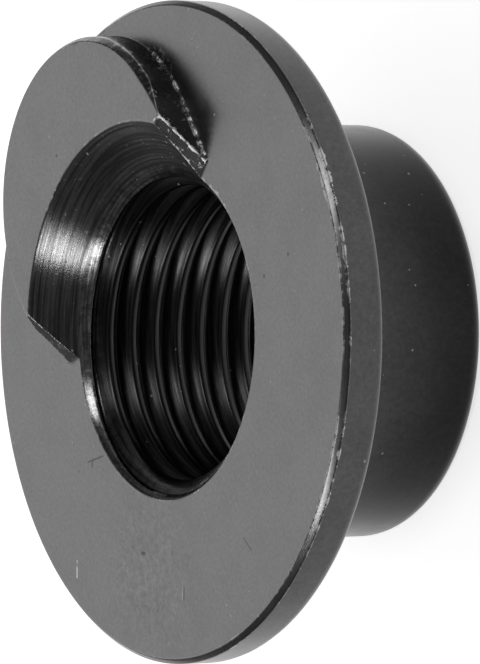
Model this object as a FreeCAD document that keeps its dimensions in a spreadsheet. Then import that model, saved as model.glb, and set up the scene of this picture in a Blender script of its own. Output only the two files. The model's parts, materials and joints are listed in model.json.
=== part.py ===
"""Turned steel T-nut: a round flange on a bored barrel, with a crescent lug on the flange face.

Millimetres. The bore's axis is Z. The nut stands on its barrel end at Z = 0, its flange face looks
up, and its lug lies on the +X side of the bore. The bore has the minor diameter of its thread; the
fine thread itself is a matter of finish and is not cut here.
"""
import FreeCAD, Part
import math
import os

import Sketcher

NODE = "t_nut"
TOUCH = 1e-5

# Driving dimensions: name, value and what it measures.
DRIVING_SIZES = [
    ("flange_diameter", 24.5, "outside diameter of the flange"),
    ("flange_thickness", 1.8, "flange face to the back of the flange"),
    ("flange_face_chamfer", 0.15, "broken edge round the flange face"),
    ("flange_back_round", 0.55, "rounding of the flange's back edge"),
    ("barrel_diameter", 15.45, "outside diameter of the barrel"),
    ("barrel_length", 7.35, "back of the flange to the end of the barrel"),
    ("barrel_end_round", 0.8, "rounding of the barrel's free edge"),
    ("thread_diameter", 12.0, "nominal diameter of the internal thread"),
    ("thread_pitch", 1.0, "pitch of the internal thread"),
    ("face_mouth_diameter", 12.4, "countersink where it meets the flange face"),
    ("end_mouth_diameter", 12.4, "countersink where it meets the barrel end"),
    ("lug_width", 12.3, "lug over its parallel flanks, and across its round end"),
    ("lug_rim_gap", 0.03, "least distance from the round end to the flange's rim"),
    ("lug_height", 1.3, "lug above the flange face"),
    ("lug_cone_diameter", 15.6, "cone of the lug's inner side, at its top"),
    ("lug_edge_chamfer", 0.22, "broken edge round the top of the lug"),
    ("lug_tip_slope", 30.0, "ramp that each tip runs down, in degrees"),
    ("lug_right_tip_cut", 0.6, "top of the ramp from where cone and flank meet, on the -Y side"),
    ("lug_left_tip_cut", 0.45, "the same on the +Y side"),
]

# Sizes that follow from the driving ones. The minor diameter of an ISO metric internal thread is
# 1.0825 pitches less than the nominal one.
DERIVED_SIZES = [
    ("face_height", "barrel_length + flange_thickness", "flange face above the barrel end"),
    ("lug_top", "face_height + lug_height", "top of the lug above the barrel end"),
    ("lug_offset", "(flange_diameter - lug_width) / 2 - lug_rim_gap", "bore's axis to the round end's axis"),
    ("lug_seat", "barrel_length + flange_thickness / 2", "level inside the flange that the lug rises from"),
    ("lug_tip", "sqrt(lug_cone_diameter ^ 2 - lug_width ^ 2) / 2", "where cone and flank meet at the top"),
    ("lug_tip_run", "lug_height / tan(lug_tip_slope * 1 deg)", "length of a tip's ramp along the flank"),
    ("minor_diameter", "thread_diameter - 1.0825 * thread_pitch", "bore that the thread is cut in"),
    ("face_mouth_depth", "(face_mouth_diameter - minor_diameter) / 2", "depth of its 45 degree countersink"),
    ("end_mouth_depth", "(end_mouth_diameter - minor_diameter) / 2", "the same at the barrel end"),
]


def make_sheet(doc):
    """The spreadsheet that every feature takes its sizes from."""
    sheet = doc.addObject("Spreadsheet::Sheet", "Sizes")
    cells = [(name, str(value), meaning) for name, value, meaning in DRIVING_SIZES]
    cells += [(name, "=" + formula, meaning) for name, formula, meaning in DERIVED_SIZES]
    for row, (name, content, meaning) in enumerate(cells, start=1):
        sheet.set(f"A{row}", name)
        sheet.set(f"B{row}", content)
        sheet.set(f"C{row}", meaning)
        sheet.setAlias(f"B{row}", name)
    doc.recompute()
    return sheet


def origin_plane(body, role):
    """One of the body's own origin planes."""
    for feature in body.Origin.OriginFeatures:
        if feature.Role == role:
            return feature
    raise ValueError(f"no origin plane {role}")


def empty_sketch(body, name, role):
    """An empty sketch on one of the body's origin planes."""
    sketch = body.newObject("Sketcher::SketchObject", name)
    sketch.AttachmentSupport = [(origin_plane(body, role), "")]
    sketch.MapMode = "FlatFace"
    return sketch


def profile_sketch(body, name):
    """An empty sketch on the upright plane through the bore's axis and the lug."""
    return empty_sketch(body, name, "XZ_Plane")


def point_at(sketch, corner):
    """The point that two sheet formulas give in a sketch."""
    across, along = corner
    return FreeCAD.Vector(float(sketch.evalExpression(across)), float(sketch.evalExpression(along)), 0)


def drive(sketch, constraint, formula):
    """Adds a dimension to the sketch and ties it to the sheet."""
    index = sketch.addConstraint(constraint)
    sketch.setExpression(f"Constraints[{index}]", formula)


def outline(sketch, corners, arcs=()):
    """A closed outline whose corners are placed by sheet formulas.

    A corner listed in arcs, with the middle of its arc, starts a turn to the left that ends at the
    next corner. The other sides are straight.
    """
    middles = dict(arcs)
    spots = [point_at(sketch, corner) for corner in corners]
    count = len(spots)
    for index, spot in enumerate(spots):
        following = spots[(index + 1) % count]
        if index in middles:
            middle = point_at(sketch, middles[index])
            circle = Part.Circle(middle, FreeCAD.Vector(0, 0, 1), spot.distanceToPoint(middle))
            side = Part.ArcOfCircle(circle, circle.parameter(spot), circle.parameter(following))
        else:
            side = Part.LineSegment(spot, following)
        sketch.addGeometry(side, False)
    for index in range(count):
        sketch.addConstraint(Sketcher.Constraint("Coincident", index, 2, (index + 1) % count, 1))
    for index, (across, along) in enumerate(corners):
        drive(sketch, Sketcher.Constraint("DistanceX", -1, 1, index, 1, spots[index].x), across)
        drive(sketch, Sketcher.Constraint("DistanceY", -1, 1, index, 1, spots[index].y), along)
    for index, corner in middles.items():
        middle = point_at(sketch, corner)
        drive(sketch, Sketcher.Constraint("DistanceX", -1, 1, index, 3, middle.x), corner[0])


def turned(body, kind, name, sketch):
    """A full turn of the sketch about its upright axis, added or cut away."""
    feature = body.newObject(f"PartDesign::{kind}", name)
    feature.Profile = sketch
    feature.ReferenceAxis = (sketch, ["V_Axis"])
    feature.Angle = 360
    body.Document.recompute()
    return feature


def break_edges(body, kind, name, edges, formula):
    """A fillet or chamfer on some edges of the body as it stands."""
    if not edges:
        raise ValueError(f"{name} has no edge")
    base = body.Tip
    feature = body.newObject(f"PartDesign::{kind}", name)
    feature.Base = (base, edges)
    feature.setExpression("Radius" if kind == "Fillet" else "Size", formula)
    body.Document.recompute()
    return feature


def edges_where(shape, belongs):
    """Names of the edges of which every sampled point belongs."""
    return [
        f"Edge{number}"
        for number, edge in enumerate(shape.Edges, start=1)
        if all(belongs(point) for point in edge.discretize(9))
    ]


def ring_edges(shape, diameter, level):
    """Names of the edges at one diameter about the bore's axis and at one height."""
    return edges_where(shape, lambda point: (
        abs(math.hypot(point.x, point.y) - diameter / 2) < TOUCH and abs(point.z - level) < TOUCH
    ))


def turn_blank(body, sheet):
    """Barrel and flange, turned as one piece, with their outer edges broken."""
    sketch = profile_sketch(body, "BlankProfile")
    outline(sketch, [
        ("0", "0"),
        ("Sizes.barrel_diameter / 2", "0"),
        ("Sizes.barrel_diameter / 2", "Sizes.barrel_length"),
        ("Sizes.flange_diameter / 2", "Sizes.barrel_length"),
        ("Sizes.flange_diameter / 2", "Sizes.face_height"),
        ("0", "Sizes.face_height"),
    ])
    turned(body, "Revolution", "Blank", sketch)
    barrel, flange = sheet.barrel_diameter, sheet.flange_diameter
    back, face = sheet.barrel_length, sheet.face_height
    break_edges(body, "Fillet", "BarrelEndRound", ring_edges(body.Tip.Shape, barrel, 0),
                "Sizes.barrel_end_round")
    break_edges(body, "Fillet", "FlangeBackRound", ring_edges(body.Tip.Shape, flange, back),
                "Sizes.flange_back_round")
    break_edges(body, "Chamfer", "FlangeFaceChamfer", ring_edges(body.Tip.Shape, flange, face),
                "Sizes.flange_face_chamfer")


def build_up_lug(body):
    """The block that the lug is cut from, with a round end by the rim and two parallel flanks."""
    sketch = empty_sketch(body, "LugProfile", "XY_Plane")
    sketch.setExpression(".AttachmentOffset.Base.z", "Sizes.lug_seat")
    outline(sketch, [
        ("0", "-Sizes.lug_width / 2"),
        ("Sizes.lug_offset", "-Sizes.lug_width / 2"),
        ("Sizes.lug_offset", "Sizes.lug_width / 2"),
        ("0", "Sizes.lug_width / 2"),
    ], arcs=[(1, ("Sizes.lug_offset", "0"))])
    block = body.newObject("PartDesign::Pad", "LugBlock")
    block.Profile = sketch
    block.setExpression("Length", "Sizes.lug_top - Sizes.lug_seat")
    body.Document.recompute()
    return block


def bore_through(body):
    """The bore, both countersinks, and the cone that leaves the block as a crescent."""
    sketch = profile_sketch(body, "BoreProfile")
    outline(sketch, [
        ("0", "0"),
        ("Sizes.end_mouth_diameter / 2", "0"),
        ("Sizes.minor_diameter / 2", "Sizes.end_mouth_depth"),
        ("Sizes.minor_diameter / 2", "Sizes.face_height - Sizes.face_mouth_depth"),
        ("Sizes.face_mouth_diameter / 2", "Sizes.face_height"),
        ("Sizes.lug_cone_diameter / 2", "Sizes.lug_top"),
        ("0", "Sizes.lug_top"),
    ])
    return turned(body, "Groove", "Bore", sketch)


def ramp_tip(body, name, side, cut):
    """The ramp that ends the crescent's thin tip on one side, +1 or -1 in Y."""
    sketch = profile_sketch(body, f"{name}Profile")
    sketch.setExpression(".AttachmentOffset.Base.x", f"Sizes.lug_tip + {cut}")
    outline(sketch, [
        ("0", "Sizes.lug_top"),
        ("-Sizes.lug_tip - Sizes.lug_tip_run", "Sizes.lug_top"),
        ("-Sizes.lug_tip - Sizes.lug_tip_run", "Sizes.face_height"),
        ("-Sizes.lug_tip_run", "Sizes.face_height"),
    ])
    ramp = body.newObject("PartDesign::Pocket", name)
    ramp.Profile = sketch
    ramp.Reversed = side < 0
    ramp.setExpression("Length", "Sizes.lug_width")
    body.Document.recompute()
    return ramp


def from_lug_wall(sheet, point):
    """Distance of a point outside the lug's upright wall, negative inside it."""
    return math.hypot(max(point.x - sheet.lug_offset, 0), point.y) - sheet.lug_width / 2


def finish_lug(body, sheet):
    """The tips' ramps, then the broken edge round the top of the crescent's outer wall."""
    ramp_tip(body, "RightTip", -1, "Sizes.lug_right_tip_cut")
    ramp_tip(body, "LeftTip", 1, "Sizes.lug_left_tip_cut")
    edges = edges_where(body.Tip.Shape, lambda point: (
        abs(from_lug_wall(sheet, point)) < TOUCH and abs(point.z - sheet.lug_top) < TOUCH
    ))
    break_edges(body, "Chamfer", "LugEdgeChamfer", edges, "Sizes.lug_edge_chamfer")


def make_nut(doc, sheet):
    """The whole nut as one body."""
    body = doc.addObject("PartDesign::Body", "Nut")
    body.Label = NODE
    turn_blank(body, sheet)
    build_up_lug(body)
    bore_through(body)
    finish_lug(body, sheet)
    return body


def check_features(doc, body):
    """Stops before anything is written if a feature failed or changed nothing."""
    doc.recompute()
    for item in doc.Objects:
        if "Invalid" in item.State or "Error" in item.State:
            raise RuntimeError(f"{item.Name} failed: {item.State}")
    features = [item for item in body.Group if item.isDerivedFrom("PartDesign::Feature")]
    for before, after in zip(features, features[1:]):
        if abs(after.Shape.Volume - before.Shape.Volume) < TOUCH:
            raise RuntimeError(f"{after.Name} changed nothing")
    shape = body.Shape
    if shape.isNull() or not shape.isValid() or len(shape.Solids) != 1:
        raise RuntimeError(f"{body.Label} is not one valid solid")


def main():
    os.makedirs("parts", exist_ok=True)
    doc = FreeCAD.newDocument("TNut")
    sheet = make_sheet(doc)
    body = make_nut(doc, sheet)
    check_features(doc, body)
    body.Shape.exportStep(f"parts/{body.Label}.step")
    box = body.Shape.optimalBoundingBox(False, False)
    print(f"{body.Label}: {body.Shape.Volume:.2f} mm3, {len(body.Shape.Faces)} faces")
    print(f"{box.XLength:.3f} x {box.YLength:.3f} x {box.ZLength:.3f} mm, lowest point at Z = {box.ZMin:.3f}")


main()
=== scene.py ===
"""Looks of a blackened steel T-nut: its fine mesh with the thread, its finish, the light and the view.

The mesh is worked out in millimetres about the bore's axis and handed to Blender in metres. Its rows
of points run round the axis. Each column is one section of the nut, cut by a half plane at one
angle, so the lug, its tips and its foot are all read from one height rule.
"""

import json
import math
from types import SimpleNamespace

import bpy
import numpy as np
from mathutils import Matrix, Vector


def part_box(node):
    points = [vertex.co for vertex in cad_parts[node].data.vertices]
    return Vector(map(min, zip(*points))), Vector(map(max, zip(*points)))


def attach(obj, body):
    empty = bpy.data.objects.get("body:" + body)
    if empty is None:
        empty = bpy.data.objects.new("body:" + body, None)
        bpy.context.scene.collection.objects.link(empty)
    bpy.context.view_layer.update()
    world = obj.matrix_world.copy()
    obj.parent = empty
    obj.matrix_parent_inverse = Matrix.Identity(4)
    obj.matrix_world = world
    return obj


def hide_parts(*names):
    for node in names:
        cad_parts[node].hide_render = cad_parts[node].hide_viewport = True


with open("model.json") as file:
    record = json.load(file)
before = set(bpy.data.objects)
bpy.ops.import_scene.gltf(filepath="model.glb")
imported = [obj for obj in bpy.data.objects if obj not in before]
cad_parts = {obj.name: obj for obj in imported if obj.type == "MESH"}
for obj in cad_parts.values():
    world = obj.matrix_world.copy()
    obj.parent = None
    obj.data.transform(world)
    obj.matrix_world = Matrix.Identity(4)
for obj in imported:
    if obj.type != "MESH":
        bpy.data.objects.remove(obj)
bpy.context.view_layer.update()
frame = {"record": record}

MM = 0.001
MOUNTS = {mount["name"]: mount for mount in frame["record"]["mounts"]}

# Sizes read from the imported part, in millimetres.
FLANGE_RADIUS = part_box("t_nut")[1].x / MM
LUG_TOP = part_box("t_nut")[1].z / MM
FACE = MOUNTS["flange_face"]["pos_m"][2] / MM
BACK = MOUNTS["flange_seat"]["pos_m"][2] / MM
BARREL_RADIUS = MOUNTS["barrel"]["dims"]["r_mm"]
CREST_RADIUS = MOUNTS["thread"]["dims"]["r_mm"]

# The part's other sizes, as in its source.
BACK_ROUND = 0.55
BARREL_END_ROUND = 0.8
MOUTH_RADIUS = 6.2
LUG_HALF_WIDTH = 6.15
LUG_RIM_GAP = 0.03
LUG_OFFSET = FLANGE_RADIUS - LUG_HALF_WIDTH - LUG_RIM_GAP
LUG_CONE_RADIUS = 7.8
LUG_TIP_SLOPE = math.tan(math.radians(30))
LUG_TIP_CUTS = {-1: 0.6, 1: 0.45}

# Finer form than the source has: the flange's worn edge is a little wider than the source's 0.15, the
# lug's broken edge is steeper than 45 degrees and dies out at the tip on the -Y side, the tips' ramps
# lean a little and have no film of metal at their ends, and the barrel's root isn't quite sharp.
FACE_CHAMFER = 0.19
LUG_EDGE_ACROSS = 0.18
LUG_EDGE_DOWN = 0.28
LUG_EDGE_TAPER = (5.5, 7.1)
LUG_TIP_LEAN = 0.25
LUG_LEAST_HEIGHT = 0.03
BARREL_ROOT_ROUND = 0.12

# The thread: ISO profile, right-hand.
PITCH = 1.0
THREAD_RADIUS = 6.0
THREAD_CLOCK = 0.373
HALF_FLOOR = PITCH / 16
FLANK_SLOPE = math.tan(math.radians(60))
HALF_GROOVE = HALF_FLOOR + (THREAD_RADIUS - CREST_RADIUS) / FLANK_SLOPE

# How finely the mesh is cut: columns round the axis, closer together at the lug's tips, and rows
# along each stretch of a section, closer together where it bends.
COLUMNS = 400
FINE_ANGLES = 7201
TIP_ANGLE = math.radians(55)
TIP_SPREAD = math.radians(6)
TIP_WEIGHT = 2.2
RIM_ROWS = 13
FACE_ROWS = 46
MOUTH_ROWS = 12
BACK_ROWS = 58
RIM_STRETCH = 1.0
MOUTH_STRETCH = 0.75
WALL_IN_FACE_ROWS = 0.45
SINK_IN_FACE_ROWS = 0.17
FACE_STEP, FACE_TURN = 0.3, math.radians(13)
BACK_STEP, BACK_TURN = 0.9, math.radians(11)
TURN_REACH = 0.05

# How finely a section's line is drawn before its rows are picked from it, how far its corners are
# softened, the bend that makes a point an edge, and the furthest distance from an edge that is kept.
SIDE_STEPS, WALL_STEPS, ROUND_STEPS = 420, 120, 60
FACE_POINTS, BACK_POINTS = 1500, 4000
EDGE_SOFTNESS = 0.03
SHARP_EDGE = 4.0
FURTHEST = 1.0

# Smaller differences than these count as none: between points, between heights and of the lug's top.
SAME_POINT = 1e-9
SAME_HEIGHT = 1e-7
NO_LUG = 0.01

# The thread's rows: where they lie, as shares of the way, on a groove's floor, its upper flank, the
# crest and the next groove's lower flank, and how far each is from the crest's edge.
FLOOR_FROM_EDGE = 0.1
THREAD_ROWS = [
    ((0.0, FLOOR_FROM_EDGE), (1.0, FLOOR_FROM_EDGE)),
    ((0.12, FLOOR_FROM_EDGE), (0.93, 0.0)),
    ((0.09, 0.0), (0.91, 0.0)),
    ((0.07, 0.0), (0.88, FLOOR_FROM_EDGE)),
]
ROWS_PER_TURN = sum(len(stretch) for stretch in THREAD_ROWS)
# Grooves worked out past each end of the bore, where their rows are held.
SPARE_GROOVES = 2

# The finish: tones of the dark oxide and of the steel under it, as shares of the light thrown back,
# and shares of the tone where two values name a range.
OXIDE = 0.135
OXIDE_CLOUDS = (0.93, 1.07)
GRAIN_TONES = (0.9, 1.1)
# Painted shade: the flange's outer wall and the barrel take a darker tone, and the barrel darkens further
# between two heights towards its end on the floor.
RIM_PAINTED_SHADE = 0.48
BARREL_PAINTED_SHADE = 0.14
PAINTED_SHADE_DOWN_BARREL = (1.0, 7.6)
WALL_MOTTLE = 0.6
INNER_TONES = (0.4, 1.2)
MOUTH_TONE = 1.35
MOUTH_MOTTLE = (0.7, 1.25)
# Painted shade in the bore: the thread's tones, from its crests outwards, and the first groove's share
# are far darker than the countersink's tone at the mouth.
THREAD_PAINTED_SHADE = (0.2, 0.52)
FIRST_GROOVE_PAINTED_SHADE = 0.35
BAND_TONES = (0.45, 1.3)
BAND_TIP_TONE = 0.7
BARE_STEEL = 0.42
DARK_MARKS = 0.55
DUST_TONE = 0.5

FACE_ROUGHNESS = (0.24, 0.3)
CONE_ROUGHNESS = 0.23
THREAD_ROUGHNESS = 0.3
BARE_ROUGHNESS = 0.48
DUST_ROUGHNESS = 0.9
CONE_STREAK, THREAD_STREAK = 0.85, 0.6
ALONG_THE_RINGS = 0.25

# Height of the marks in the finish, as shares of one depth in metres.
MARK_DEPTH = 0.0000035
GRAIN_HEIGHT, SCUFFED_GRAIN_HEIGHT = 0.25, 0.9
INNER_RING_HEIGHT, WALL_RING_HEIGHT = 1.5, 0.3

# Noise in the finish: cells to the millimetre, detail and roughness. Turning marks and patches of wear
# follow the rings, so their cells are counted along the axis in millimetres and round it in radians.
GRAIN = (7.0, 2.0, 0.7)
CLOUDS = (0.5, 2.0, 0.6)
SPECKLE = (3.2, 3.0, 0.75)
FLECKS = (4.0, 3.0, 0.75)
CHIPS = (3.5, 3.0, 0.8)
RING_MARKS = (1.0, 3.0, 0.72)
RINGS_ALONG, RINGS_ROUND = 13.0, 1.3
WEAR_PATCHES = (1.0, 2.0, 0.6)
WEAR_ROUND = 3.0
NOISE_MIDDLE = 0.5

# Shifts that keep two patterns from falling on each other.
WEAR_SHIFT = (4.0, 0, 0)
PITS_SHIFT = (7.0, 3.0, 5.0)

# The noise's value where a mark starts to show, and where it shows in full.
CLOUDS_SHOWN = (0.3, 0.7)
GRAIN_SHOWN = (0.25, 0.75)
RINGS_SHOWN = (0.35, 0.65)
MOUTH_SHOWN = (0.38, 0.6)
BAND_SHOWN = (0.42, 0.6)
WEAR_SHOWN = (0.42, 0.72)
RAGGED_SHOWN = (0.42, 0.64)
BEADS_SHOWN = (0.49, 0.56)
CORNER_SHOWN = (0.4, 0.55)
CHAFED_SHOWN = (0.5, 0.6)
FLAKES_SHOWN = (0.57, 0.66)
INNER_FLAKES_SHOWN = (0.58, 0.68)
INNER_FLAKE_RINGS = (0.5, 0.62)
SCRATCHES_SHOWN = (0.36, 0.5)

# Heights between which one zone of the finish fades into the next.
BELOW_TOP = (LUG_TOP - 0.01, LUG_TOP - 0.04)
BAND_HEIGHTS = (LUG_TOP - 0.45, LUG_TOP - 0.35)
FOOT_TOP = (FACE + 0.3, FACE + 0.2)
RAISED = (FACE + 0.03, FACE + 0.06)
FROM_FACE = (FACE - 0.05, FACE - 0.02)
FACE_EDGE = (FACE - 0.05, FACE + 0.05)
RIM_EDGE = (FACE - 0.2, FACE - 0.1)
ABOVE_THREAD = (FACE - 0.5, FACE - 0.3)
DEEP = (FACE - 0.5, FACE - 0.9)
FIRST_GROOVE_START = (FACE + 0.02, FACE - 0.05)
FIRST_GROOVE_END = (FACE - 1.6, FACE - 1.2)

# The same in x, and for the tips in y.
LUG_SIDE_FROM = (5.8, 6.4)
SPARED_TO = (9.6, 8.6)
BEADS_TO = (9.4, 8.6)
BAND_TIP = (7.2, 9.2)
TIP_IN_X = (6.0, 5.5)
TIP_IN_Y = (1.0, -1.0)

# The same in radii and in distances: from an edge, from the foot, from a ring and from a spot.
INSIDE_MARGIN = 0.03
THREAD_TONE_RADII = (CREST_RADIUS + 0.05, CREST_RADIUS + 0.2)
IN_GROOVE = (0.02, 0.08)
EDGE_WORN = (0.008, -0.022)
BAND_FROM_EDGE = (0.25, 0.15)
BEADS_FROM_FOOT = (0.12, 0.05)
CHAFED_FROM_FOOT = (0.6, 0.3)
ON_RING = (0.9, 0.7)
SCUFFED_REACH = (4.2, 1.0)
CHAFED_REACH = (1.0, 0.5)

# Shares of a mark that show in full: of a stretch's half length and of a scratch's width. A spot is
# at least this share of its largest radius, and is full at this depth in from its outline.
STRETCH_CORE = 0.5
SCRATCH_CORE = 0.4
LEAST_SPOT = 0.5
SPOT_DEPTH = 0.5

# Where the finish is worn through or marked. Stretches are azimuths in degrees, the radius of the
# worn edge and how far from it the bare metal reaches. Scratches run between two points and have a
# width, and the bright ones a strength.
WEAR_REACH = (0.0, 0.03)
WORN_STRETCHES = [
    (-86, -93, FLANGE_RADIUS, 0.03),
    (-93, -106, FLANGE_RADIUS, 0.1),
    (-106, -122, FLANGE_RADIUS, 0.05),
    (-137, -166, FLANGE_RADIUS, 0.035),
    (-50, -84, MOUTH_RADIUS, 0.11),
    (45, 72, 7.4, 0.05),
    (-45, -70, 7.4, 0.08),
]
THREAD_WEAR = 0.3
LUG_EDGE_SPARED = 0.85
FLAKE_SHARE = 0.6
CHAFED_SHARE = 0.8
CHAFED_AT = (8.1, -5.9, FACE + 0.1)
SCUFFED_AT = (-6.5, 6.3, FACE)
BRIGHT_CORNER = ((5.33, -6.08, LUG_TOP - 0.05), (5.42, -5.7, LUG_TOP - 0.05), 0.08)
BRIGHT_SHINE = 0.3
BRIGHT_SCRATCHES = [
    ((-3.14, 10.28, FACE), (-3.62, 10.64, FACE), 0.06, 1.0),
    ((-8.25, 4.63, FACE), (-8.57, 4.89, FACE), 0.05, 0.3),
]
DARK_SCRATCHES = [
    ((-0.63, 7.37, FACE), (-1.08, 6.34, FACE), 0.045),
    ((-0.75, 7.0, FACE), (-0.95, 7.25, FACE), 0.06),
    ((-9.18, 0.09, FACE), (-9.86, -0.07, FACE), 0.03),
    ((-8.3, 4.57, FACE), (-8.62, 4.83, FACE), 0.06),
    ((-5.59, 6.23, FACE), (-5.7, 6.1, FACE), 0.09),
    ((-2.78, -8.49, FACE), (-2.8, -8.47, FACE), 0.08),
]
# Spots: cells to the millimetre, share of the cells that have one, largest radius.
DUST = (1.9, 0.28, 0.07)
PITS = (1.1, 0.2, 0.09)
DUST_INSIDE = 0.7
DUST_METAL = 0.2

# The light: directions from the nut, angles in degrees, lamp sizes in radians.
ROOM_LEVEL = 0.14
WORLD_LOBES = [((0.45, 0.72, 0.53), 10, 34, 1.15)]
LAMP_DISTANCE = 0.5
LAMPS = [
    ("left_lamp", (-0.57, 0.17, 0.80), 0.1, 0.42, 17.0),
    ("right_lamp", (0.27, -0.56, 0.79), 0.28, 0.3, 6.0),
]
FLOOR_HALF_WIDTH = 3.0
FLOOR_TONE = 0.9
FLOOR_OWN_LIGHT = 0.72

# The view, fitted to the nut's edges in the photo: the camera's place in metres, and its turns, one
# about CAMERA_SPIN by that vector's length in radians and then one about the vertical.
CAMERA_PLACE = (-0.12303, -0.16810, 0.13714)
CAMERA_AZIMUTH = math.radians(-126.2)
CAMERA_SPIN = (-0.00416, 1.00845, -0.00743)
CAMERA_LENS = 359.2
CAMERA_CLIP = 0.01


def column_angles():
    """Angles of the sections, closer together where the lug's tips are."""
    fine = np.linspace(0, 2 * math.pi, FINE_ANGLES)
    from_lug = np.abs((fine + math.pi) % (2 * math.pi) - math.pi)
    weight = 1 + TIP_WEIGHT * np.exp(-(((from_lug - TIP_ANGLE) / TIP_SPREAD) ** 2))
    mass = np.concatenate([[0], np.cumsum((weight[1:] + weight[:-1]) / 2)])
    return np.interp(np.arange(COLUMNS) / COLUMNS * mass[-1], mass, fine)


def lug_height(radius, angle):
    """Height of the lug's top side at points of one section: top, broken edge, cone and ramps."""
    x, y = radius * math.cos(angle), radius * math.sin(angle)
    side = 1 if math.sin(angle) > 0 else -1
    inside = LUG_HALF_WIDTH - np.hypot(np.maximum(x - LUG_OFFSET, 0), y)
    strength = np.interp(x, LUG_EDGE_TAPER, (0, 1)) if side < 0 else 1.0
    edge = LUG_TOP - LUG_EDGE_DOWN * np.clip(strength - inside / LUG_EDGE_ACROSS, 0, 1)
    cone = FACE + (radius - MOUTH_RADIUS) / (LUG_CONE_RADIUS - MOUTH_RADIUS) * (LUG_TOP - FACE)
    ramp_top = math.sqrt(LUG_CONE_RADIUS**2 - LUG_HALF_WIDTH**2) + LUG_TIP_CUTS[side]
    lean = LUG_TIP_LEAN * (LUG_HALF_WIDTH - np.abs(y))
    ramp = LUG_TOP - (ramp_top - lean - x) * LUG_TIP_SLOPE
    height = np.clip(np.minimum(np.minimum(edge, cone), ramp), FACE, LUG_TOP)
    return height if height.max() > FACE + LUG_LEAST_HEIGHT else np.full_like(height, FACE)


def lug_wall_radius(angle):
    """Where the section at this angle meets the lug's upright wall, or None where there is none."""
    across, along = math.cos(angle), abs(math.sin(angle))
    if across <= 0:
        return None
    if along > 0 and LUG_HALF_WIDTH / along * across < LUG_OFFSET:
        return LUG_HALF_WIDTH / along
    return LUG_OFFSET * across + math.sqrt(LUG_HALF_WIDTH**2 - (LUG_OFFSET * along) ** 2)


def face_section(angle):
    """Section of the nut at one angle, from the flange's outer wall over the face to the mouth."""
    wall = lug_wall_radius(angle) or MOUTH_RADIUS
    steps = np.linspace(0, 1, SIDE_STEPS)
    outside = FLANGE_RADIUS + (max(wall, MOUTH_RADIUS) - FLANGE_RADIUS) * (1 - (1 - steps) ** 2)
    radii = [outside]
    heights = [np.minimum(FACE, FACE - FACE_CHAMFER + FLANGE_RADIUS - outside)]
    if wall > MOUTH_RADIUS:
        inside = wall + (MOUTH_RADIUS - wall) * steps**2
        top = lug_height(inside, angle)
        upright = np.linspace(heights[0][-1], top[0], WALL_STEPS)
        radii += [np.full_like(upright, wall), inside]
        heights += [upright, top]
    start = np.array([[FLANGE_RADIUS, FACE - FACE_CHAMFER - WALL_IN_FACE_ROWS]])
    end = MOUTH_RADIUS - SINK_IN_FACE_ROWS
    sink = np.array([[end, FACE - (MOUTH_RADIUS - end)]])
    return np.concatenate([start, np.stack([np.concatenate(radii), np.concatenate(heights)], 1), sink])


def evenly(points, count):
    """The same line with its points evenly spaced along it, and its length."""
    steps = np.hypot(*np.diff(points, axis=0).T)
    keep = np.concatenate([[True], steps > SAME_POINT])
    points = points[keep]
    length = np.concatenate([[0], np.cumsum(np.hypot(*np.diff(points, axis=0).T))])
    places = np.linspace(0, length[-1], count)
    return np.stack([np.interp(places, length, points[:, k]) for k in (0, 1)], 1), length[-1]


def softened(points, spacing, width):
    """The line with its corners rounded by a moving average, its ends held."""
    reach = max(1, int(round(3 * width / spacing)))
    offsets = np.arange(-reach, reach + 1)
    kernel = np.exp(-0.5 * (offsets * spacing / width) ** 2)
    kernel /= kernel.sum()
    before = 2 * points[0] - points[reach:0:-1]
    after = 2 * points[-1] - points[-2:-reach - 2:-1]
    padded = np.concatenate([before, points, after])
    return np.stack([np.convolve(padded[:, k], kernel, "valid") for k in (0, 1)], 1)


def distance_from(marked, spacing):
    """Distance along the line from each point to the nearest marked one, up to a limit."""
    at = np.arange(len(marked)) * spacing
    if not marked.any():
        return np.full(len(marked), FURTHEST)
    nearby = at[marked][::2 if marked.sum() > 1 else 1]
    return np.minimum(np.abs(at[:, None] - nearby[None, :]).min(axis=1), FURTHEST)


def turning(points, spacing):
    """How sharply the line turns at each point, positive where the metal stands out."""
    heading = np.unwrap(np.arctan2(*np.gradient(points, axis=0).T[::-1]))
    return np.gradient(heading) / spacing


def spread(bend, spacing, start, stop, rows):
    """Places of the rows along a stretch of the line, closer together where it bends."""
    length = spacing * (len(bend) - 1)
    at = np.linspace(0, length, len(bend))
    density = 1 / FACE_STEP + np.abs(bend) / FACE_TURN
    reach = max(1, int(round(TURN_REACH / spacing)))
    window = np.ones(2 * reach + 1) / (2 * reach + 1)
    density = np.convolve(np.pad(density, reach, "edge"), window, "valid")
    mass = np.concatenate([[0], np.cumsum((density[1:] + density[:-1]) / 2 * spacing)])
    first, last = np.interp([start, stop], at, mass)
    return np.interp(np.linspace(first, last, rows, endpoint=False), mass, at)


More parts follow.
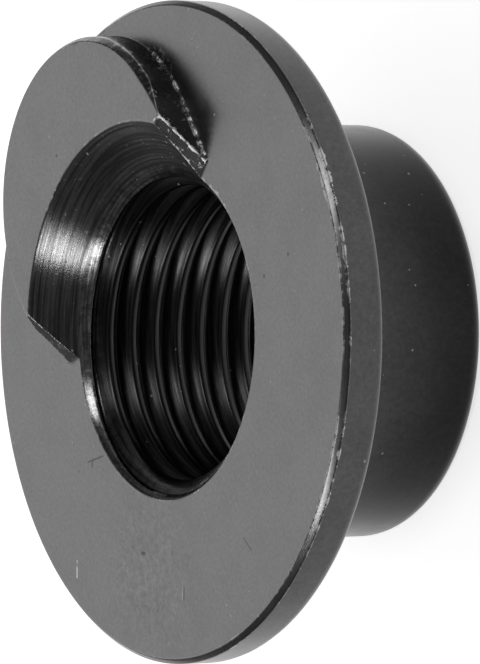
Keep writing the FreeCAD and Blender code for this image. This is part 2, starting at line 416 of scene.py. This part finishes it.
def face_rows(angles):
    """Radius, height and distances from edge and foot, row by row from the rim to the mouth.

    A section without the lug takes the middle rows of the nearest one that has it, so that the rows
    run on smoothly past the lug's tips.
    """
    sections, bends = [], []
    for angle in angles:
        points, length = evenly(face_section(angle), FACE_POINTS)
        spacing = length / (len(points) - 1)
        sections.append((softened(points, spacing, EDGE_SOFTNESS), length, spacing))
        bends.append(turning(sections[-1][0], spacing))
    peaks = np.array([points[:, 1].max() for points, _, _ in sections])
    with_lug = np.flatnonzero(peaks > FACE + NO_LUG)
    columns = []
    for index, ((points, length, spacing), bend) in enumerate(zip(sections, bends)):
        apart = np.abs((with_lug - index + len(angles) / 2) % len(angles) - len(angles) / 2)
        guide = bends[with_lug[apart.argmin()]]
        rim, mouth = RIM_STRETCH, length - MOUTH_STRETCH
        places = np.concatenate([
            spread(bend, spacing, 0, rim, RIM_ROWS),
            spread(guide, spacing, rim, mouth, FACE_ROWS),
            spread(bend, spacing, mouth, length, MOUTH_ROWS),
            [length],
        ])
        at = np.linspace(0, length, len(points))
        worn = distance_from(bend > SHARP_EDGE, spacing)
        foot = distance_from(bend < -SHARP_EDGE, spacing)
        columns.append([np.interp(places, at, values) for values in (*points.T, worn, foot)])
    return np.array(columns).transpose(1, 2, 0)


def back_rows(angles):
    """The same for the rest of the outside, from the barrel's mouth up to the flange's wall."""
    quarter = np.linspace(0, math.pi / 2, ROUND_STEPS)
    end = MOUTH_RADIUS - SINK_IN_FACE_ROWS
    line = [(end, MOUTH_RADIUS - end), (MOUTH_RADIUS, 0)]
    line += [
        (BARREL_RADIUS - BARREL_END_ROUND * (1 - math.sin(a)), BARREL_END_ROUND * (1 - math.cos(a)))
        for a in quarter
    ]
    root = BARREL_ROOT_ROUND
    line += [(BARREL_RADIUS + root * (1 - math.cos(a)), BACK - root * (1 - math.sin(a))) for a in quarter]
    line += [
        (FLANGE_RADIUS - BACK_ROUND * (1 - math.sin(a)), BACK + BACK_ROUND * (1 - math.cos(a)))
        for a in quarter
    ]
    line.append((FLANGE_RADIUS, FACE - FACE_CHAMFER - WALL_IN_FACE_ROWS))
    points, length = evenly(np.array(line), BACK_POINTS)
    spacing = length / (len(points) - 1)
    points = softened(points, spacing, EDGE_SOFTNESS)
    bend = turning(points, spacing)
    at = np.linspace(0, length, len(points))
    density = 1 / BACK_STEP + np.abs(bend) / BACK_TURN
    mass = np.concatenate([[0], np.cumsum((density[1:] + density[:-1]) / 2 * spacing)])
    places = np.interp(np.linspace(0, mass[-1], BACK_ROWS), mass, at)[:-1]
    worn = distance_from(bend > SHARP_EDGE, spacing)
    foot = np.full_like(worn, FURTHEST)
    rows = np.array([np.interp(places, at, values) for values in (*points.T, worn, foot)])
    return np.repeat(rows[:, :, None], len(angles), axis=2)


def groove_ends(middle):
    """Where a groove starts and ends: at the crest, or where a flank runs out in a countersink."""
    lower, upper = middle - HALF_GROOVE, middle + HALF_GROOVE
    by_face = (FLANK_SLOPE * lower - CREST_RADIUS - (FACE - MOUTH_RADIUS)) / (FLANK_SLOPE - 1)
    by_end = (MOUTH_RADIUS - CREST_RADIUS + FLANK_SLOPE * lower) / (FLANK_SLOPE + 1)
    start = np.minimum(np.maximum(lower, np.maximum(by_face, by_end)), middle - HALF_FLOOR)
    by_face = (FLANK_SLOPE * upper + CREST_RADIUS + (FACE - MOUTH_RADIUS)) / (FLANK_SLOPE + 1)
    by_end = (FLANK_SLOPE * upper + CREST_RADIUS - MOUTH_RADIUS) / (FLANK_SLOPE - 1)
    end = np.maximum(np.minimum(upper, np.minimum(by_face, by_end)), middle + HALF_FLOOR)
    return start, end


def countersink_radius(height):
    """Radius of the countersinks' cones at a height, whichever of the two is wider."""
    return np.maximum(height - FACE + MOUTH_RADIUS, MOUTH_RADIUS - height)


def thread_rows(angles, low, high):
    """Radius, height and distance from an edge of the thread: rows climb one pitch in each turn.

    Rows outside low and high are held there, where the countersinks are plain cones.
    """
    climb = angles / (2 * math.pi) * PITCH
    first = FACE + (THREAD_CLOCK - math.ceil(FACE / PITCH) - SPARE_GROOVES) * PITCH
    grooves = math.ceil((high - first) / PITCH) + SPARE_GROOVES
    middles = first + np.arange(grooves)[:, None] * PITCH + climb[None, :]
    starts, ends = zip(*(groove_ends(middle) for middle in middles))
    heights, from_edge = [], []
    for index in range(grooves - 1):
        floor = (middles[index] - HALF_FLOOR, middles[index] + HALF_FLOOR)
        stretches = [
            (floor[0], floor[1]),
            (floor[1], ends[index]),
            (ends[index], starts[index + 1]),
            (starts[index + 1], middles[index + 1] - HALF_FLOOR),
        ]
        for (begin, finish), rows in zip(stretches, THREAD_ROWS):
            for share, distance in rows:
                heights.append(begin + (finish - begin) * share)
                from_edge.append(np.full_like(angles, distance))
    heights, from_edge = np.array(heights), np.array(from_edge)
    turned_to = (heights - (first + climb[None, :])) / PITCH
    from_middle = np.abs(turned_to - np.round(turned_to)) * PITCH
    depth = THREAD_RADIUS - CREST_RADIUS
    groove = THREAD_RADIUS - np.clip((from_middle - HALF_FLOOR) * FLANK_SLOPE, 0, depth)
    held = np.clip(heights, low, high)
    threaded = np.maximum(groove, countersink_radius(heights))
    return np.where(held == heights, threaded, countersink_radius(held)), held, from_edge


def nut_mesh():
    """The whole nut as one closed mesh."""
    angles = column_angles()
    outside = np.concatenate([back_rows(angles), face_rows(angles)], axis=1)
    low, high = outside[1][0].max(), outside[1][-1].min()
    radii, heights, thread_from_edge = thread_rows(angles, low, high)
    places, distances = [], []
    around = np.stack([np.cos(angles), np.sin(angles)])

    def add(radius, height, from_edge, from_foot, column):
        places.append((radius * around[0][column], radius * around[1][column], height))
        distances.append((from_edge, from_foot))
        return len(places) - 1

    rings = []
    for row in range(outside.shape[1]):
        rings.append([add(*outside[:, row, column], column) for column in range(COLUMNS)])
    faces = []
    for lower, upper in zip(rings, rings[1:]):
        for column in range(COLUMNS):
            following = (column + 1) % COLUMNS
            faces.append((lower[column], lower[following], upper[following], upper[column]))

    # The thread's rows, joined to the first and the last ring where they are held. After one turn
    # each row goes on as the row one pitch higher.
    lattice = np.zeros((radii.shape[0], COLUMNS + 1), int)
    for row in range(radii.shape[0]):
        for column in range(COLUMNS):
            height = heights[row, column]
            if height <= low + SAME_HEIGHT:
                lattice[row, column] = rings[0][column]
            elif height >= high - SAME_HEIGHT:
                lattice[row, column] = rings[-1][column]
            else:
                lattice[row, column] = add(
                    radii[row, column], height, thread_from_edge[row, column], FURTHEST, column)
    for row in range(radii.shape[0]):
        onward = row + ROWS_PER_TURN
        lattice[row, COLUMNS] = lattice[onward, 0] if onward < radii.shape[0] else rings[-1][0]
    for row in range(radii.shape[0] - 1):
        for column in range(COLUMNS):
            corners = [
                lattice[row, column], lattice[row + 1, column],
                lattice[row + 1, column + 1], lattice[row, column + 1],
            ]
            corners = [corner for at, corner in enumerate(corners) if corner != corners[at - 1]]
            if len(set(corners)) > 2:
                faces.append(tuple(corners))
    mesh = bpy.data.meshes.new("t_nut_turned")
    mesh.from_pydata([(x * MM, y * MM, z * MM) for x, y, z in places], [], faces)
    mesh.validate()
    for name, values in zip(("from_edge", "from_foot"), np.array(distances, np.float32).T):
        attribute = mesh.attributes.new(name, "FLOAT", "POINT")
        attribute.data.foreach_set("value", np.ascontiguousarray(values))
    mesh.update()
    return mesh


class Nodes:
    """Adds nodes to a tree and links them; inputs may be sockets or plain values."""

    def __init__(self, tree):
        self.tree = tree

    def add(self, kind, inputs=(), **settings):
        node = self.tree.nodes.new(f"ShaderNode{kind}")
        for name, value in settings.items():
            setattr(node, name, value)
        for name, value in dict(inputs).items():
            if isinstance(value, bpy.types.NodeSocket):
                self.tree.links.new(value, node.inputs[name])
            else:
                node.inputs[name].default_value = value
        return node

    def math(self, operation, *values):
        return self.add("Math", enumerate(values), operation=operation).outputs[0]

    def times(self, first, *others):
        for other in others:
            first = self.math("MULTIPLY", first, other)
        return first

    def most(self, first, *others):
        for other in others:
            first = self.math("MAXIMUM", first, other)
        return first

    def less(self, value, taken):
        return self.math("SUBTRACT", value, taken)

    def rest(self, share):
        """What a share leaves of 1."""
        return self.less(1.0, share)

    def vector(self, operation, *values):
        names = (0, "Scale") if operation == "SCALE" else (0, 1)
        node = self.add("VectorMath", zip(names, values), operation=operation)
        return node.outputs["Value" if operation in ("LENGTH", "DISTANCE", "DOT_PRODUCT") else "Vector"]

    def join(self, x, y, z):
        return self.add("CombineXYZ", {"X": x, "Y": y, "Z": z}).outputs[0]

    def fade(self, value, start, stop, low=0.0, high=1.0):
        """Smooth step of value from low at start to high at stop."""
        inputs = {"Value": value, "From Min": start, "From Max": stop, "To Min": low, "To Max": high}
        return self.add("MapRange", inputs, interpolation_type="SMOOTHSTEP").outputs["Result"]

    def mix(self, share, first, second):
        """Plain value between first and second."""
        return self.math("ADD", self.times(first, self.rest(share)), self.times(second, share))

    def noise(self, place, scale, detail, roughness):
        inputs = {"Vector": place, "Scale": scale, "Detail": detail, "Roughness": roughness}
        return self.add("TexNoise", inputs).outputs["Fac"]

    def near(self, place, spot, start, stop):
        """1 round a spot, gone at the distance start and full at the distance stop."""
        return self.fade(self.vector("DISTANCE", place, spot), start, stop)

    def specks(self, place, scale, kept, size):
        """Small round spots: 1 inside. A share kept of the cells has one, of up to size in radius."""
        node = self.add("TexVoronoi", {"Vector": place, "Scale": scale})
        chance = self.add("SeparateColor", {"Color": node.outputs["Color"]})
        reach = self.times(size * scale, self.fade(chance.outputs["Green"], 0, 1, LEAST_SPOT, 1.0))
        inside = self.rest(self.math("DIVIDE", node.outputs["Distance"], reach))
        shape = self.fade(inside, 0, SPOT_DEPTH)
        return self.times(shape, self.math("LESS_THAN", chance.outputs["Red"], kept))

    def scratch(self, place, start, stop, width):
        """A short straight mark: 1 on the line between two points."""
        start, stop = Vector(start), Vector(stop)
        run = stop - start
        offset = self.vector("SUBTRACT", place, tuple(start))
        along = self.math("DIVIDE", self.vector("DOT_PRODUCT", offset, tuple(run)), run.length_squared)
        along = self.math("MINIMUM", self.most(along, 0.0), 1.0)
        nearest = self.vector("SCALE", self.join(*run), along)
        return self.fade(self.vector("DISTANCE", offset, nearest), width, width * SCRATCH_CORE)


def surface_places(nodes):
    """Where a point of the surface is, in millimetres, and which zones of the nut it is in."""
    at = SimpleNamespace()
    at.place = nodes.vector("SCALE", nodes.add("TexCoord").outputs["Object"], 1 / MM)
    at.x, at.y, at.z = nodes.add("SeparateXYZ", {"Vector": at.place}).outputs
    flat = nodes.join(at.x, at.y, 0.0)
    at.radius = nodes.vector("LENGTH", flat)
    at.round_axis = nodes.vector("NORMALIZE", flat)
    at.from_edge = nodes.add("Attribute", attribute_name="from_edge").outputs["Fac"]
    at.from_foot = nodes.add("Attribute", attribute_name="from_foot").outputs["Fac"]

    # Inside: cone, countersinks and thread, with the ramps of the tips. Raised: the lug's sides, of
    # which the outer ones are rough.
    slope = (LUG_CONE_RADIUS - MOUTH_RADIUS) / (LUG_TOP - FACE)
    above_face = nodes.most(nodes.less(at.z, FACE), 0.0)
    cone = nodes.math("ADD", MOUTH_RADIUS + INSIDE_MARGIN, nodes.times(above_face, slope))
    not_top = nodes.fade(at.z, *BELOW_TOP)
    at.inside = nodes.times(nodes.fade(nodes.less(at.radius, cone), INSIDE_MARGIN, 0.0), not_top)
    at.raised = nodes.times(nodes.fade(at.z, *RAISED), not_top)
    at.rough_side = nodes.times(at.raised, nodes.rest(at.inside))
    at.lug_side = nodes.times(at.rough_side, nodes.fade(at.x, *LUG_SIDE_FROM))
    at.deep = nodes.fade(at.z, *DEEP)
    at.above_thread = nodes.mix(at.inside, 1.0, nodes.fade(at.z, *ABOVE_THREAD))
    at.scuffed = nodes.near(at.place, SCUFFED_AT, *SCUFFED_REACH)
    return at


def add_patterns(nodes, at):
    """Turning marks in rings about the bore's axis, grain, clouds and flecks, all as noise."""
    along = nodes.join(0.0, 0.0, nodes.times(at.z, RINGS_ALONG))
    rings = nodes.vector("ADD", nodes.vector("SCALE", at.round_axis, RINGS_ROUND), along)
    at.ring_marks = nodes.noise(rings, *RING_MARKS)
    at.grain = nodes.noise(at.place, *GRAIN)
    at.clouds = nodes.noise(at.place, *CLOUDS)
    at.speckle = nodes.noise(at.place, *SPECKLE)
    at.flecks = nodes.noise(at.place, *FLECKS)
    at.chips = nodes.noise(at.place, *CHIPS)


def wear_reach(nodes, at):
    """How far from an edge the bare metal may reach: a little in patches, more along the stretches."""
    azimuth = nodes.math("ARCTAN2", at.y, at.x)
    round_nut = nodes.vector("ADD", nodes.vector("SCALE", at.round_axis, WEAR_ROUND), WEAR_SHIFT)
    reach = nodes.fade(nodes.noise(round_nut, *WEAR_PATCHES), *WEAR_SHOWN, *WEAR_REACH)
    for start, stop, ring, depth in WORN_STRETCHES:
        middle, half = math.radians((start + stop) / 2), math.radians(abs(stop - start) / 2)
        turn = nodes.less(azimuth, middle)
        turn = nodes.math("ARCTAN2", nodes.math("SINE", turn), nodes.math("COSINE", turn))
        off = nodes.math("ABSOLUTE", turn)
        on_ring = nodes.fade(nodes.math("ABSOLUTE", nodes.less(at.radius, ring)), *ON_RING)
        stretch = nodes.fade(off, half, half * STRETCH_CORE, 0, depth)
        reach = nodes.most(reach, nodes.times(stretch, on_ring))
    return reach


def bare_metal(nodes, at):
    """Where the oxide is worn through, and how much of that shines."""
    ragged = nodes.times(wear_reach(nodes, at), at.above_thread, nodes.fade(at.speckle, *RAGGED_SHOWN))
    spared = nodes.times(at.lug_side, nodes.fade(at.x, *SPARED_TO, 0.0, LUG_EDGE_SPARED))
    edges = nodes.times(
        nodes.fade(nodes.less(at.from_edge, ragged), *EDGE_WORN),
        nodes.mix(at.above_thread, THREAD_WEAR, 1.0),
        nodes.rest(spared),
    )
    on_face = nodes.times(nodes.fade(at.z, *FROM_FACE), nodes.fade(at.z, *FOOT_TOP))
    beads = nodes.times(
        nodes.fade(at.from_foot, *BEADS_FROM_FOOT), on_face, nodes.fade(at.flecks, *BEADS_SHOWN),
        nodes.fade(at.x, *BEADS_TO),
    )
    corner = nodes.times(
        nodes.scratch(at.place, *BRIGHT_CORNER), nodes.fade(at.speckle, *CORNER_SHOWN))
    chafed = nodes.times(
        nodes.near(at.place, CHAFED_AT, *CHAFED_REACH),
        nodes.fade(at.chips, *CHAFED_SHOWN, 0.0, CHAFED_SHARE),
        nodes.fade(at.from_foot, *CHAFED_FROM_FOOT),
    )
    flakes = nodes.times(at.rough_side, nodes.fade(at.speckle, *FLAKES_SHOWN), FLAKE_SHARE)
    inner_flakes = nodes.times(
        at.inside, at.above_thread, nodes.fade(at.speckle, *INNER_FLAKES_SHOWN),
        nodes.fade(at.ring_marks, *INNER_FLAKE_RINGS), FLAKE_SHARE,
    )
    near_tip = nodes.times(at.raised, nodes.fade(at.x, *TIP_IN_X), nodes.fade(at.y, *TIP_IN_Y))
    scratches = 0.0
    for start, stop, width, strength in BRIGHT_SCRATCHES:
        scratches = nodes.most(
            scratches, nodes.times(nodes.scratch(at.place, start, stop, width), strength))
    scratches = nodes.times(scratches, nodes.fade(at.speckle, *SCRATCHES_SHOWN))
    bare = nodes.most(edges, beads, chafed, corner, flakes, inner_flakes, scratches)
    shining = nodes.most(corner, beads, near_tip, nodes.times(scratches, BRIGHT_SHINE))
    return bare, shining


def inner_tone_and_painted_shade(nodes, at):
    """Share of the oxide's tone inside: cone, countersink and thread, with turning marks and mottle, and
    painted shade that darkens the thread deep in the bore, most in its first groove.
    """
    # Painted shade: the tone falls from the countersink at the mouth to a much darker thread deep in the
    # bore, darkest on the crests and darker again in the first groove.
    bore_painted_shade = nodes.mix(
        at.deep, nodes.fade(at.z, *FACE_EDGE, MOUTH_TONE, 1.0),
        nodes.fade(at.radius, *THREAD_TONE_RADII, *THREAD_PAINTED_SHADE),
    )
    at_mouth = nodes.times(nodes.fade(at.z, *FACE_EDGE, 1.0, 0.0), nodes.rest(at.deep))
    mottle = nodes.mix(at_mouth, 1.0, nodes.fade(at.speckle, *MOUTH_SHOWN, *MOUTH_MOTTLE))
    unthreaded = nodes.most(nodes.math("ADD", at.z, MOUTH_RADIUS - FACE), CREST_RADIUS)
    first_groove = nodes.times(
        nodes.fade(nodes.less(at.radius, unthreaded), *IN_GROOVE),
        nodes.fade(at.z, *FIRST_GROOVE_END), nodes.fade(at.z, *FIRST_GROOVE_START),
    )
    rings = nodes.fade(at.ring_marks, *RINGS_SHOWN, *INNER_TONES)
    return nodes.times(rings, bore_painted_shade, mottle, nodes.mix(first_groove, 1.0, FIRST_GROOVE_PAINTED_SHADE))


def oxide_tone_and_painted_shade(nodes, at):
    """Tone of the black oxide, with its clouds, grain and mottle, its dark marks and the lug's edge, and
    painted shade on the flange's outer wall, on the barrel and in the bore.
    """
    dark_marks = nodes.specks(nodes.vector("ADD", at.place, PITS_SHIFT), *PITS)
    for start, stop, width in DARK_SCRATCHES:
        dark_marks = nodes.most(dark_marks, nodes.scratch(at.place, start, stop, width))
    mottled = nodes.most(at.scuffed, nodes.fade(at.z, *RIM_EDGE, WALL_MOTTLE, 0.0))
    # Painted shade: below the face's edge the tone is darker, and darker still down the barrel towards
    # its end, standing in for the shaded floor these sides reflect.
    outside = nodes.times(
        nodes.fade(at.z, *RIM_EDGE, RIM_PAINTED_SHADE, 1.0),
        nodes.fade(at.z, *PAINTED_SHADE_DOWN_BARREL, BARREL_PAINTED_SHADE / RIM_PAINTED_SHADE, 1.0),
    )
    band = nodes.times(
        at.lug_side, nodes.fade(at.from_edge, *BAND_FROM_EDGE), nodes.fade(at.z, *BAND_HEIGHTS),
    )
    band_tone = nodes.times(
        nodes.fade(at.speckle, *BAND_SHOWN, *BAND_TONES), nodes.fade(at.x, *BAND_TIP, BAND_TIP_TONE, 1.0))
    return nodes.times(
        nodes.fade(at.clouds, *CLOUDS_SHOWN, *(OXIDE * share for share in OXIDE_CLOUDS)),
        nodes.fade(at.grain, *GRAIN_SHOWN, *GRAIN_TONES),
        nodes.math("ADD", 1.0, nodes.times(mottled, nodes.less(at.flecks, NOISE_MIDDLE))),
        nodes.mix(at.inside, outside, inner_tone_and_painted_shade(nodes, at)),
        nodes.rest(nodes.times(dark_marks, DARK_MARKS)),
        nodes.mix(band, 1.0, band_tone),
    )


def steel_material():
    """Turned steel under black oxide: satin, with turning marks, bare worn edges, pits and dust, and
    painted shade on the outer wall, the barrel and inside the bore.
    """
    material = bpy.data.materials.new("blackened_steel")
    material.use_nodes = True
    nodes = Nodes(material.node_tree)
    surface = material.node_tree.nodes["Principled BSDF"]
    surface.inputs["Anisotropic Rotation"].default_value = ALONG_THE_RINGS
    at = surface_places(nodes)
    add_patterns(nodes, at)
    bare, shining = bare_metal(nodes, at)
    dust = nodes.times(nodes.specks(at.place, *DUST), nodes.mix(at.inside, 1.0, DUST_INSIDE))

    tone = nodes.mix(bare, oxide_tone_and_painted_shade(nodes, at), nodes.mix(shining, BARE_STEEL, 1.0))
    tone = nodes.mix(dust, tone, DUST_TONE)
    roughness = nodes.mix(
        at.inside, nodes.fade(at.clouds, *CLOUDS_SHOWN, *FACE_ROUGHNESS),
        nodes.mix(at.deep, CONE_ROUGHNESS, THREAD_ROUGHNESS),
    )
    roughness = nodes.mix(dust, nodes.mix(bare, roughness, BARE_ROUGHNESS), DUST_ROUGHNESS)
    on_walls = nodes.fade(at.z, *RIM_EDGE, WALL_RING_HEIGHT, 0.0)
    height = nodes.math(
        "ADD", nodes.times(at.grain, nodes.mix(at.scuffed, GRAIN_HEIGHT, SCUFFED_GRAIN_HEIGHT)),
        nodes.times(at.ring_marks, nodes.mix(at.inside, on_walls, INNER_RING_HEIGHT)),
    )
    bump = nodes.add("Bump", {"Height": height, "Strength": 1.0, "Distance": MARK_DEPTH})
    links = {
        "Base Color": nodes.add("CombineColor", {"Red": tone, "Green": tone, "Blue": tone}).outputs[0],
        "Metallic": nodes.mix(dust, 1.0, DUST_METAL),
        "Roughness": roughness,
        "Normal": bump.outputs[0],
        "Anisotropic": nodes.times(at.inside, nodes.mix(at.deep, CONE_STREAK, THREAD_STREAK)),
        "Tangent": nodes.add("Tangent", direction_type="RADIAL", axis="Z").outputs[0],
    }
    for name, socket in links.items():
        material.node_tree.links.new(socket, surface.inputs[name])
    return material


def lobe(nodes, direction, toward, inner, outer, strength):
    """Light from round one direction: full within one angle of it, gone at another, in degrees."""
    facing = nodes.vector("DOT_PRODUCT", direction, tuple(Vector(toward).normalized()))
    return nodes.fade(facing, math.cos(math.radians(outer)), math.cos(math.radians(inner)), 0, strength)


def light_world():
    """A dim room with one broad bright wall behind the nut."""
    world = bpy.data.worlds.new("studio")
    world.use_nodes = True
    nodes = Nodes(world.node_tree)
    direction = nodes.vector("NORMALIZE", nodes.add("TexCoord").outputs["Generated"])
    total = ROOM_LEVEL
    for toward, inner, outer, strength in WORLD_LOBES:
        total = nodes.math("ADD", total, lobe(nodes, direction, toward, inner, outer, strength))
    background = world.node_tree.nodes["Background"]
    world.node_tree.links.new(total, background.inputs["Strength"])
    background.inputs["Color"].default_value = (1, 1, 1, 1)
    bpy.context.scene.world = world


def add_lamp(name, toward, width, height, level):
    """A rectangular lamp, of a given brightness; its size is in radians."""
    data = bpy.data.lights.new(name, "AREA")
    data.shape = "RECTANGLE"
    data.size, data.size_y = width * LAMP_DISTANCE, height * LAMP_DISTANCE
    data.energy = level * math.pi * data.size * data.size_y
    lamp = bpy.data.objects.new(name, data)
    spot = Vector(toward).normalized() * LAMP_DISTANCE
    lamp.matrix_world = Matrix.Translation(spot) @ spot.to_track_quat("Z", "Y").to_matrix().to_4x4()
    bpy.context.scene.collection.objects.link(lamp)


def make_floor():
    """White floor that takes the shadow. Part of its light is its own, so that it shows as white."""
    mesh = bpy.data.meshes.new("floor")
    half = FLOOR_HALF_WIDTH
    corners = [(-half, -half, 0), (half, -half, 0), (half, half, 0), (-half, half, 0)]
    mesh.from_pydata(corners, [], [(0, 1, 2, 3)])
    floor = bpy.data.objects.new("floor", mesh)
    bpy.context.scene.collection.objects.link(floor)
    paint = bpy.data.materials.new("floor_paint")
    paint.use_nodes = True
    nodes = Nodes(paint.node_tree)
    surface = paint.node_tree.nodes["Principled BSDF"]
    surface.inputs["Base Color"].default_value = (FLOOR_TONE, FLOOR_TONE, FLOOR_TONE, 1)
    surface.inputs["Roughness"].default_value = 1.0
    surface.inputs["Specular IOR Level"].default_value = 0.0
    surface.inputs["Emission Color"].default_value = (1, 1, 1, 1)
    path = nodes.add("LightPath").outputs
    seen = nodes.most(path["Is Camera Ray"], path["Is Glossy Ray"], path["Is Transmission Ray"])
    own_light = nodes.times(seen, FLOOR_OWN_LIGHT)
    paint.node_tree.links.new(own_light, surface.inputs["Emission Strength"])
    mesh.materials.append(paint)


def add_camera():
    """The photo's camera."""
    data = bpy.data.cameras.new("camera")
    data.lens = CAMERA_LENS
    data.clip_start = CAMERA_CLIP
    camera = bpy.data.objects.new("camera", data)
    spin = Vector(CAMERA_SPIN)
    turn = Matrix.Rotation(CAMERA_AZIMUTH, 4, "Z") @ Matrix.Rotation(spin.length, 4, spin.normalized())
    camera.matrix_world = Matrix.Translation(Vector(CAMERA_PLACE)) @ turn
    bpy.context.scene.collection.objects.link(camera)
    bpy.context.scene.camera = camera


nut = bpy.data.objects.new("t_nut_turned", nut_mesh())
bpy.context.scene.collection.objects.link(nut)
nut.data.materials.append(steel_material())
for polygon in nut.data.polygons:
    polygon.use_smooth = True
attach(nut, "root")
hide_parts("t_nut")

make_floor()
light_world()
for lamp in LAMPS:
    add_lamp(*lamp)
add_camera()
bpy.context.scene.view_settings.view_transform = "Standard"
